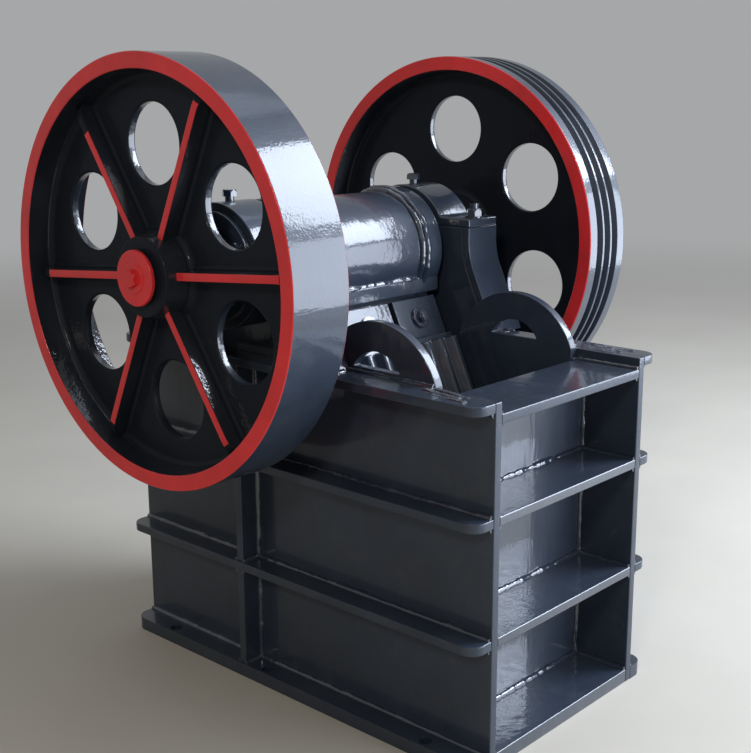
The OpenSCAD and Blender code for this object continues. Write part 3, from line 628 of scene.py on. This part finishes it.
class WeldsOperator(bpy.types.Operator):
    """Lays the weld beads of the frame and of the pitman"""
    bl_idname = "crusher.welds"
    bl_label = "Welds"

    def execute(self, context):
        low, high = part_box("side_plate_right")
        inner, outer, end = low.x, high.x, high.y
        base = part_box("base_flanges")[1].z
        ribs_low, ribs_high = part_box("side_ribs_right")
        under, top = (corner.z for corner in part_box("front_top_plate"))
        flange_low, flange_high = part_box("top_flanges")
        post_low, post_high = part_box("posts")
        thick = top - under
        levels = [base, ribs_low.z, ribs_low.z + thick, ribs_high.z - thick, ribs_high.z, flange_low.z]
        tiers = (0, 2, 4)  # which levels the three tiers of the wall stand on

        # Along the ribs, up the posts and round them
        paths = [[(outer, -end + 3 * MM, z), (outer, end - 3 * MM, z)] for z in levels]
        for y in (post_low.y, post_high.y):
            paths += [[(outer, y, levels[i]), (outer, y, levels[i + 1])] for i in tiers]
            paths += [[(outer, y, z), (post_high.x, y, z)] for z in levels]

        # Inside the open cells, front and rear: along the shelves, across the wall and up its corners
        wall, wall_back, short = 364 * MM, 344 * MM, 2 * MM
        cell_levels = levels[:5] + [under]
        for s in (-1, 1):
            for z in cell_levels:
                paths.append([(inner, s * wall, z), (inner, s * (end - short), z)])
                paths.append([(0, s * wall, z), (inner, s * wall, z)])
            paths += [
                [(inner, s * wall, cell_levels[i]), (inner, s * wall, cell_levels[i + 1])] for i in tiers]
            paths.append([(inner, s * wall_back, top), (inner, s * (end - short), top)])

        # On the deck: at the pedestal's feet, along the cheek plate and behind the top plate
        deck = flange_high.z
        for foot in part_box("pedestal_flanges_right"):
            paths.append([(outer, foot.y, deck), (flange_high.x - 3 * MM, foot.y, deck)])
        paths.append([(inner, -340 * MM, deck), (inner, -60 * MM, deck)])
        paths.append([(inner, -wall_back, top), (inner - 18 * MM, -wall_back, top)])

        # Smears of paint on the deck: beads sunk into it until little shows, each leading forward
        smear = deck - 4 * MM
        for x, y in ((9 * MM, -350 * MM), (24 * MM, -338 * MM), (40 * MM, -362 * MM)):
            paths.append([(inner + x, y, smear), (inner + x + 9 * MM, y - 85 * MM, smear)])
        lay_welds("frame_welds", both_sides(paths), "frame", 1.0)

        # Round the barrel on both sides of the step to its end ring, and along the top of the lip
        seams = []
        turns = [2 * math.pi * k / 72 for k in range(73)]
        for radius, x in ((124.5 * MM, 145.5 * MM), (128.5 * MM, 157.5 * MM)):
            seams.append([
                (x, ECCENTRIC.y + radius * math.cos(a), ECCENTRIC.z + radius * math.sin(a)) for a in turns])
        seams.append([(x, 14.5 * MM, 804 * MM) for x in (0, 150 * MM)])
        lay_welds("pitman_welds", both_sides(seams), "swing_jaw", 2.0)
        return {"FINISHED"}


class BearingsOperator(bpy.types.Operator):
    """Rounds and paints the bearing blocks and caps, and sets their bolts and grease plugs"""
    bl_idname = "crusher.bearings"
    bl_label = "Bearings"

    def execute(self, context):
        edge = context.scene.crusher_plates.cast_edge
        for side in ("left", "right"):
            dress("bearing_block_" + side, paint("cast_enamel"), edge=2 * MM)
            dress("bearing_cap_" + side, paint("cast_enamel"), edge=edge)
        dress("bearing_covers", paint("cast_enamel"), edge=2 * MM)
        dress("bearings", paint("steel"), edge=1 * MM)
        cap_low, cap_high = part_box("bearing_cap_right")
        lug, lug_reach = cap_low.z + 18 * MM, 163 * MM
        nuts = [((s * BEARING_MIDDLE, y, lug), (0, 0, 1))
                for s in (-1, 1) for y in (SHAFT.y - lug_reach, SHAFT.y + lug_reach)]
        set_bolts("cap_nuts", nuts, "frame", paint("weld_enamel"),
                  17.3 * MM, 16 * MM, (20 * MM, 3 * MM), (10 * MM, 30 * MM))
        plugs = [((s * BEARING_MIDDLE, SHAFT.y + 12 * MM, cap_high.z - 1 * MM), (0, 0, 1)) for s in (-1, 1)]
        set_bolts("grease_plugs", plugs, "frame", paint("weld_enamel"),
                  15 * MM, 13 * MM, (9 * MM, 9 * MM))
        face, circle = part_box("bearing_covers")[1].x, 88 * MM
        ring = []
        for s in (-1, 1):
            for k in range(6):
                a = math.radians(30 + 60 * k)
                place = (s * face, SHAFT.y + circle * math.cos(a), SHAFT.z + circle * math.sin(a))
                ring.append((place, (s, 0, 0)))
        set_bolts("cover_bolts", ring, "frame", paint("weld_enamel"),
                  10.5 * MM, 8 * MM, (11 * MM, 2 * MM))
        return {"FINISHED"}


class ShaftOperator(bpy.types.Operator):
    """Finishes the eccentric shaft and the red end discs with their washers and bolts"""
    bl_idname = "crusher.shaft"
    bl_label = "Shaft"

    def execute(self, context):
        dress("shaft", paint("steel"), edge=1.5 * MM)
        # Half section of a disc and its washer in millimetres
        back, face, washer = 508, 516, 519
        disc = rounded([(back, 0), (back, 52), (face, 52), (face, 28), (washer, 28), (washer, 0)],
                       [0, 1, 2.5, 1, 1.2, 0])
        bm = bmesh.new()
        for s in (-1, 1):
            lathe(bm, [(s * x * MM, r * MM) for x, r in disc], SHAFT, 96)
        finish(closed_mesh("end_discs", bm), "rotor", paint("red"), ("shaft_end_discs",))
        heads = [((s * (washer - 1) * MM, SHAFT.y, SHAFT.z), (s, 0, 0)) for s in (-1, 1)]
        set_bolts("end_bolts", heads, "rotor", paint("red"),
                  17 * MM, 10 * MM, (14.5 * MM, 1 * MM))
        return {"FINISHED"}


# Where the brush stopped on each rib's front, in millimetres from the shaft
RED_ENDS = (331, 308, 346, 346, 346, 337)

WEB_IN, WEB_OUT = 426 * MM, 446 * MM  # the web's faces from the machine's middle plane
RIB_TOP = 480 * MM
RIM_INSIDE = 369 * MM  # radius of the rim's inner face
RIM_BACK, RIM_FRONT = 368 * MM, 500 * MM
RIM_BAND = 4 * MM  # how deep the red reaches round a rim's edges
RED_TURN, WEB_TURN = 0.55, 0.35  # least X of the normal of a red face, and of a face of the web


def hole_cutter(name, side, radius):
    """A plug for one hole, flared at both faces of the web, which rounds the edges of the hole."""
    flare, away, circle = 4 * MM, 20 * MM, 238 * MM
    bell = ((-away, flare * 4), (0, flare), (flare * 0.35, flare * 0.35), (flare, 0))
    inward = [(WEB_IN + x, radius + wider) for x, wider in bell]
    outward = [(WEB_OUT - x, radius + wider) for x, wider in reversed(bell)]
    outline = [(WEB_IN - away, 0)] + inward + outward + [(WEB_OUT + away, 0)]
    bm = bmesh.new()
    lathe(bm, [(side * x, r) for x, r in outline], Vector((0, circle, 0)), 64)
    return closed_mesh(name, bm)


def cast_rib(name, side, thickness):
    """One rib along +Y: it stands on a cast foot, has a drafted wall, and dips where it meets the rim."""
    half = thickness / 2
    section = [(-half - 12 * MM, WEB_OUT - 3 * MM), (-half - 9 * MM, WEB_OUT),
               (-half - 3.5 * MM, WEB_OUT + 2.5 * MM), (-half - 1.2 * MM, WEB_OUT + 8 * MM),
               (-half, RIB_TOP - 3 * MM), (-half + 0.8 * MM, RIB_TOP - 0.8 * MM), (-half + 3 * MM, RIB_TOP)]
    section += [(-t, x) for t, x in reversed(section)]
    # Millimetres from the shaft, how far the top dips there, and how far each flank spreads
    stations = ((60, 0, 0), (308, 0, 0), (331, 0, 0), (337, 0.3, 0), (346, 1.5, 0.6), (356, 5, 2),
                (364, 11, 5), (371, 19, 11))
    bm = bmesh.new()
    rows = []
    for y, dip, spread in stations:
        row = []
        for t, x in section:
            rise = max(0.0, x - WEB_OUT) / (RIB_TOP - WEB_OUT)
            across = t + math.copysign(spread * MM * rise, t)
            row.append(bm.verts.new((side * (x - dip * MM * rise), y * MM, across)))
        rows.append(row)
    bm.faces.new(rows[0])
    bm.faces.new(rows[-1][::-1])
    for near, far in zip(rows, rows[1:]):
        for i in range(len(section)):
            j = (i + 1) % len(section)
            bm.faces.new((near[j], near[i], far[i], far[j]))
    return closed_mesh(name, bm)


def paint_wheel(obj, sizes):
    """Red on the rim's faces and the ribs' fronts, and the enamel darkened as painted shade on all that the
    rim holds.
    """
    for finish_name in ("red", "web_enamel_with_painted_shade", "rib_enamel_with_painted_shade"):
        obj.data.materials.append(paint(finish_name))
    for face in obj.data.polygons:
        x, turned = abs(face.center.x), abs(face.normal.x)
        arm = (face.center - SHAFT).yz
        spoke = round((math.atan2(arm.y, arm.x) - sizes.phase) / (2 * math.pi) * sizes.spokes) % sizes.spokes
        on_rim = arm.length > RIM_INSIDE and not RIM_BACK + RIM_BAND <= x <= RIM_FRONT - RIM_BAND
        on_rib = abs(x - RIB_TOP) < 2 * MM and arm.length < RED_ENDS[spoke % len(RED_ENDS)] * MM
        if turned > RED_TURN and (on_rim or on_rib):
            face.material_index = 1
        # All that the rim holds takes the darker enamel, which is painted shade
        elif arm.length < RIM_INSIDE + 3 * MM:
            face.material_index = 2 if turned > WEB_TURN else 3


def wheel(name, outline, side, nodes):
    """A cast wheel from its half section, with holes and ribs; its rim faces and rib fronts are red."""
    sizes = bpy.context.scene.crusher_wheels
    bm = bmesh.new()
    lathe(bm, [(side * x, r) for x, r in outline], Vector(), 180)
    obj = closed_mesh(name, bm)
    cutter = hole_cutter(name + "_cutter", side, sizes.hole)
    rib = cast_rib(name + "_rib", side, sizes.rib)
    tree = bpy.data.node_groups.get("wheel_holes_and_ribs") or wheel_tree()
    run_tree(obj, tree, {
        "Cutter": cutter, "Rib": rib, "Count": sizes.spokes, "Phase": sizes.phase, "Centre": SHAFT,
        "Material": paint("wheel_enamel")})
    for helper in (cutter, rib):
        bpy.data.objects.remove(helper)
    finish(obj, "rotor", paint("wheel_enamel"), nodes, sharp=42)
    paint_wheel(obj, sizes)


# The hub's half section in millimetres along the shaft and from it, and the radius of each corner
HUB_SIDE = [(446, 86), (500, 74), (500, 42.05), (350, 42.05), (350, 74), (426, 86)]
HUB_ROUND = [16, 5, 1.5, 1.5, 5, 16]


class FlywheelOperator(bpy.types.Operator):
    """Builds the flywheel: a plain wide rim, a web with round holes, and ribs"""
    bl_idname = "crusher.flywheel"
    bl_label = "Flywheel"

    def execute(self, context):
        points = HUB_SIDE + [(426, 368), (368, 370), (368, 400), (500, 400), (500, 370), (446, 367)]
        radii = HUB_ROUND + [14, 2.5, 3, 3, 2.5, 14]
        outline = [(x * MM, r * MM) for x, r in rounded(points, radii)]
        wheel("flywheel", outline, -1, ("flywheel_rim", "flywheel_web", "wheel_hubs", "wheel_ribs"))
        return {"FINISHED"}


class PulleyOperator(bpy.types.Operator):
    """Builds the belt pulley: the same wheel with V grooves in its rim"""
    bl_idname = "crusher.pulley"
    bl_label = "Belt pulley"

    def execute(self, context):
        points = HUB_SIDE + [(426, 368), (368, 370), (368, 400)]
        radii = HUB_ROUND + [14, 2.5, 3]
        for k in (-1, 0, 1):
            middle = 434 + 28.5 * k
            points += [(middle - 11, 400), (middle - 5, 382), (middle + 5, 382), (middle + 11, 400)]
            radii += [1.2, 1.5, 1.5, 1.2]
        points += [(500, 400), (500, 370), (446, 367)]
        radii += [3, 2.5, 14]
        outline = [(x * MM, r * MM) for x, r in rounded(points, radii, 3)]
        wheel("belt_pulley", outline, 1, ("pulley_rim", "pulley_web"))
        return {"FINISHED"}


class ChamberOperator(bpy.types.Operator):
    """Finishes the fixed jaw plate and the swing jaw plate with their ridges"""
    bl_idname = "crusher.chamber"
    bl_label = "Jaw plates"

    def execute(self, context):
        edge = context.scene.crusher_plates.cast_edge
        dress("fixed_jaw_plate", paint("cast_enamel"), edge=edge)
        dress("swing_jaw_plate", paint("cast_enamel"), edge=edge)
        return {"FINISHED"}


def plate_middle(z):
    """How far along Y the middle of the pitman's plate is at a height, both in millimetres."""
    depth = 70  # behind the tips of the ridges
    return JAW_Y + depth / math.cos(LEAN) + (z - JAW_Z) * math.tan(LEAN)


class PitmanOperator(bpy.types.Operator):
    """Builds the pitman, its wedge plates and their bolts"""
    bl_idname = "crusher.pitman"
    bl_label = "Pitman"

    def execute(self, context):
        # The barrel: a tube with a raised ring at each end, in millimetres
        half, ring, mid, end, bore = 205, 152, 124, 131, 68.05
        outline = rounded(
            [(-half, bore), (-half, end), (-ring, end), (-ring, mid),
             (ring, mid), (ring, end), (half, end), (half, bore)],
            [1, 5, 2, 2, 2, 2, 5, 1])
        bm = bmesh.new()
        lathe(bm, [(x * MM, r * MM) for x, r in outline], ECCENTRIC, 144)
        finish(closed_mesh("barrel", bm), "swing_jaw", paint("cast_enamel"),
               ("pitman_barrel",))

        # The casting below it: lip, plate, toggle block, stays, and the hook for the tension rod
        bm = bmesh.new()
        block(bm, (-205 * MM, 7 * MM, 772 * MM), (205 * MM, 60 * MM, 804 * MM))
        block(bm, (-196 * MM, 50 * MM, -505 * MM), (196 * MM, 90 * MM, 126 * MM), JAW)
        bottom, top, back = 206.2, 344.2, -95
        outline = [(plate_middle(bottom), bottom), (back, bottom), (back, 230), (-135, 230), (-135, 300),
                   (back, 300), (back, top), (plate_middle(top), top)]
        prism(bm, [(y * MM, z * MM) for y, z in outline], -196 * MM, 196 * MM)
        stay = [(plate_middle(740), 740), (212, 772), (back, top - 4), (plate_middle(top - 4), top - 4)]
        for x in (-140, 0, 140):
            prism(bm, [(y * MM, z * MM) for y, z in stay], (x - 13) * MM, (x + 13) * MM)
        lug = rounded([(-184, 212), (-116, 212), (-126, 119), (-174, 119)], [0, 0, 22, 22])
        for x0, x1 in ((-50, -34), (34, 50)):
            prism(bm, [(y * MM, z * MM) for y, z in lug], x0 * MM, x1 * MM)
        pin = rounded([(-52, 0), (-52, 14), (52, 14), (52, 0)], [0, 2, 2, 0])
        lathe(bm, [(x * MM, r * MM) for x, r in pin], Vector((0, -150 * MM, 143 * MM)), 48)
        finish(closed_mesh("pitman_casting", bm), "swing_jaw", paint("cast_enamel"),
               ("pitman_lip", "pitman_plate", "pitman_stays", "toggle_block", "rod_hook"), edge=3 * MM)

        dress("wedge_plates", paint("enamel"), edge=2 * MM)
        facing = JAW.to_3x3() @ Vector((0, -1, 0))
        heads = [(JAW @ Vector((x * MM, 29 * MM, 57 * MM)), facing) for x in (121, -36, -140)]
        set_bolts("wedge_bolts", heads, "swing_jaw", paint("weld_enamel"),
                  13.5 * MM, 8 * MM, (23 * MM, 6 * MM), (8 * MM, 17 * MM), 2.5 * MM)
        return {"FINISHED"}


class ToggleOperator(bpy.types.Operator):
    """Finishes the toggle plate and its seat, the tension rod and its coil spring"""
    bl_idname = "crusher.toggle"
    bl_label = "Toggle and tension rod"

    def execute(self, context):
        dress("toggle_plate", paint("cast"), edge=2 * MM)
        dress("toggle_seat", paint("cast_enamel"), edge=2 * MM)
        dress("tension_rod", paint("steel"), edge=1 * MM)
        low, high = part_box("tension_spring")
        wire = 6 * MM
        coil = put("tension_spring_coil", bpy.data.meshes.new("tension_spring_coil"))
        run_tree(coil, coil_tree(), {
            "Turns": 5.0, "Radius": (high.x - low.x) / 2 - wire, "Length": high.y - low.y - 2 * wire,
            "Wire": wire, "Centre": Vector((0, low.y + wire, (low.z + high.z) / 2)),
            "Material": paint("steel")})
        finish(coil, "frame", paint("steel"), ("tension_spring",))
        return {"FINISHED"}


class StageOperator(bpy.types.Operator):
    """Sets the floor, the lamps, the world and the camera"""
    bl_idname = "crusher.stage"
    bl_label = "Stage"

    def execute(self, context):
        scene = context.scene
        scene.view_settings.view_transform = "Standard"
        bm = bmesh.new()
        bmesh.ops.create_grid(bm, x_segments=1, y_segments=1, size=30)
        floor = put_mesh("floor", bm)
        floor.data.materials.append(paint("floor"))

        # Each lamp's name, place and aim in metres, size, power in watts and colour
        for name, place, target, size, power, tint in (
                ("window", (3.78, -2.76, 3.9), (0, 0, 0.9), (2.4, 3.1), 430, "#e2edff"),
                ("front_panel", (1.3, -2.2, 0.95), (0, 0, 2.1), (3.4, 1.5), 125, "#e2edff"),
                ("roof_light", (0.5, 0.5, 5.0), (0, 0, 0.6), (4.0, 4.0), 50, "#e2edff"),
                ("left_fill", (-3.8, -2.2, 3.2), (0, 0, 0.6), (0.6, 0.6), 60, "#fff6ea")):
            light = bpy.data.lights.new(name, "AREA")
            light.shape = "RECTANGLE"
            light.size, light.size_y = size
            light.energy = power
            light.color = linear(tint)[:3]
            lamp = put(name, light)
            lamp.location = place
            lamp.rotation_euler = (Vector(target) - Vector(place)).to_track_quat("-Z", "Y").to_euler()
            lamp.visible_camera = False

        world = bpy.data.worlds.new("grey_studio")
        world.use_nodes = True
        tree = world.node_tree
        tree.nodes.clear()
        back = add(tree, "ShaderNodeBackground", {
            "Color": linear(scene.crusher_paint.backdrop), "Strength": shown_strength(tree, AMBIENT)})
        add(tree, "ShaderNodeOutputWorld", {"Surface": back.outputs[0]})
        scene.world = world

        # The photo's camera, as it was fitted to the wheels and the frame's edges
        eye = Vector((-1.84842, -1.69522, 1.21346))
        yaw, pitch, roll = math.radians(-47.38), math.radians(-13.43), math.radians(-0.31)
        focal_pixels, photo_height_pixels, sensor = 1231.7, 753, 36
        forward = Vector((math.sin(-yaw) * math.cos(pitch), math.cos(yaw) * math.cos(pitch), math.sin(pitch)))
        right = forward.cross(Vector((0, 0, 1))).normalized()
        up = right.cross(forward)
        across = right * math.cos(roll) + up * math.sin(roll)
        upward = up * math.cos(roll) - right * math.sin(roll)
        lens = bpy.data.cameras.new("camera")
        lens.sensor_width = sensor
        lens.lens = focal_pixels * sensor / photo_height_pixels
        lens.clip_end = 200
        camera = put("camera", lens)
        turned = Matrix((across, upward, -forward)).transposed().to_4x4()
        camera.matrix_world = Matrix.Translation(eye) @ turned
        scene.camera = camera
        return {"FINISHED"}


PIECES = (PlatesOperator, WeldsOperator, BearingsOperator, ShaftOperator, FlywheelOperator, PulleyOperator,
          ChamberOperator, PitmanOperator, ToggleOperator, StageOperator)


class CrusherPanel(bpy.types.Panel):
    """Lists the crusher's pieces and settings in the sidebar"""
    bl_idname = "VIEW3D_PT_crusher"
    bl_label = "Jaw crusher"
    bl_space_type = "VIEW_3D"
    bl_region_type = "UI"
    bl_category = "Crusher"

    def draw(self, context):
        scene = context.scene
        for settings in (scene.crusher_paint, scene.crusher_plates, scene.crusher_wheels):
            for key in settings.bl_rna.properties.keys():
                if key not in {"rna_type", "name"}:
                    self.layout.prop(settings, key)
        for operator in PIECES:
            self.layout.operator(operator.bl_idname)


CLASSES = (PaintSettings, PlateSettings, WheelSettings) + PIECES + (CrusherPanel,)


def register():
    for cls in CLASSES:
        bpy.utils.register_class(cls)
    bpy.types.Scene.crusher_paint = PointerProperty(type=PaintSettings)
    bpy.types.Scene.crusher_plates = PointerProperty(type=PlateSettings)
    bpy.types.Scene.crusher_wheels = PointerProperty(type=WheelSettings)


def unregister():
    del bpy.types.Scene.crusher_paint
    del bpy.types.Scene.crusher_plates
    del bpy.types.Scene.crusher_wheels
    for cls in reversed(CLASSES):
        bpy.utils.unregister_class(cls)


def main():
    register()
    for operator in PIECES:
        name = operator.bl_idname.split(".")[1]
        getattr(bpy.ops.crusher, name)()


if __name__ == "__main__":
    main()
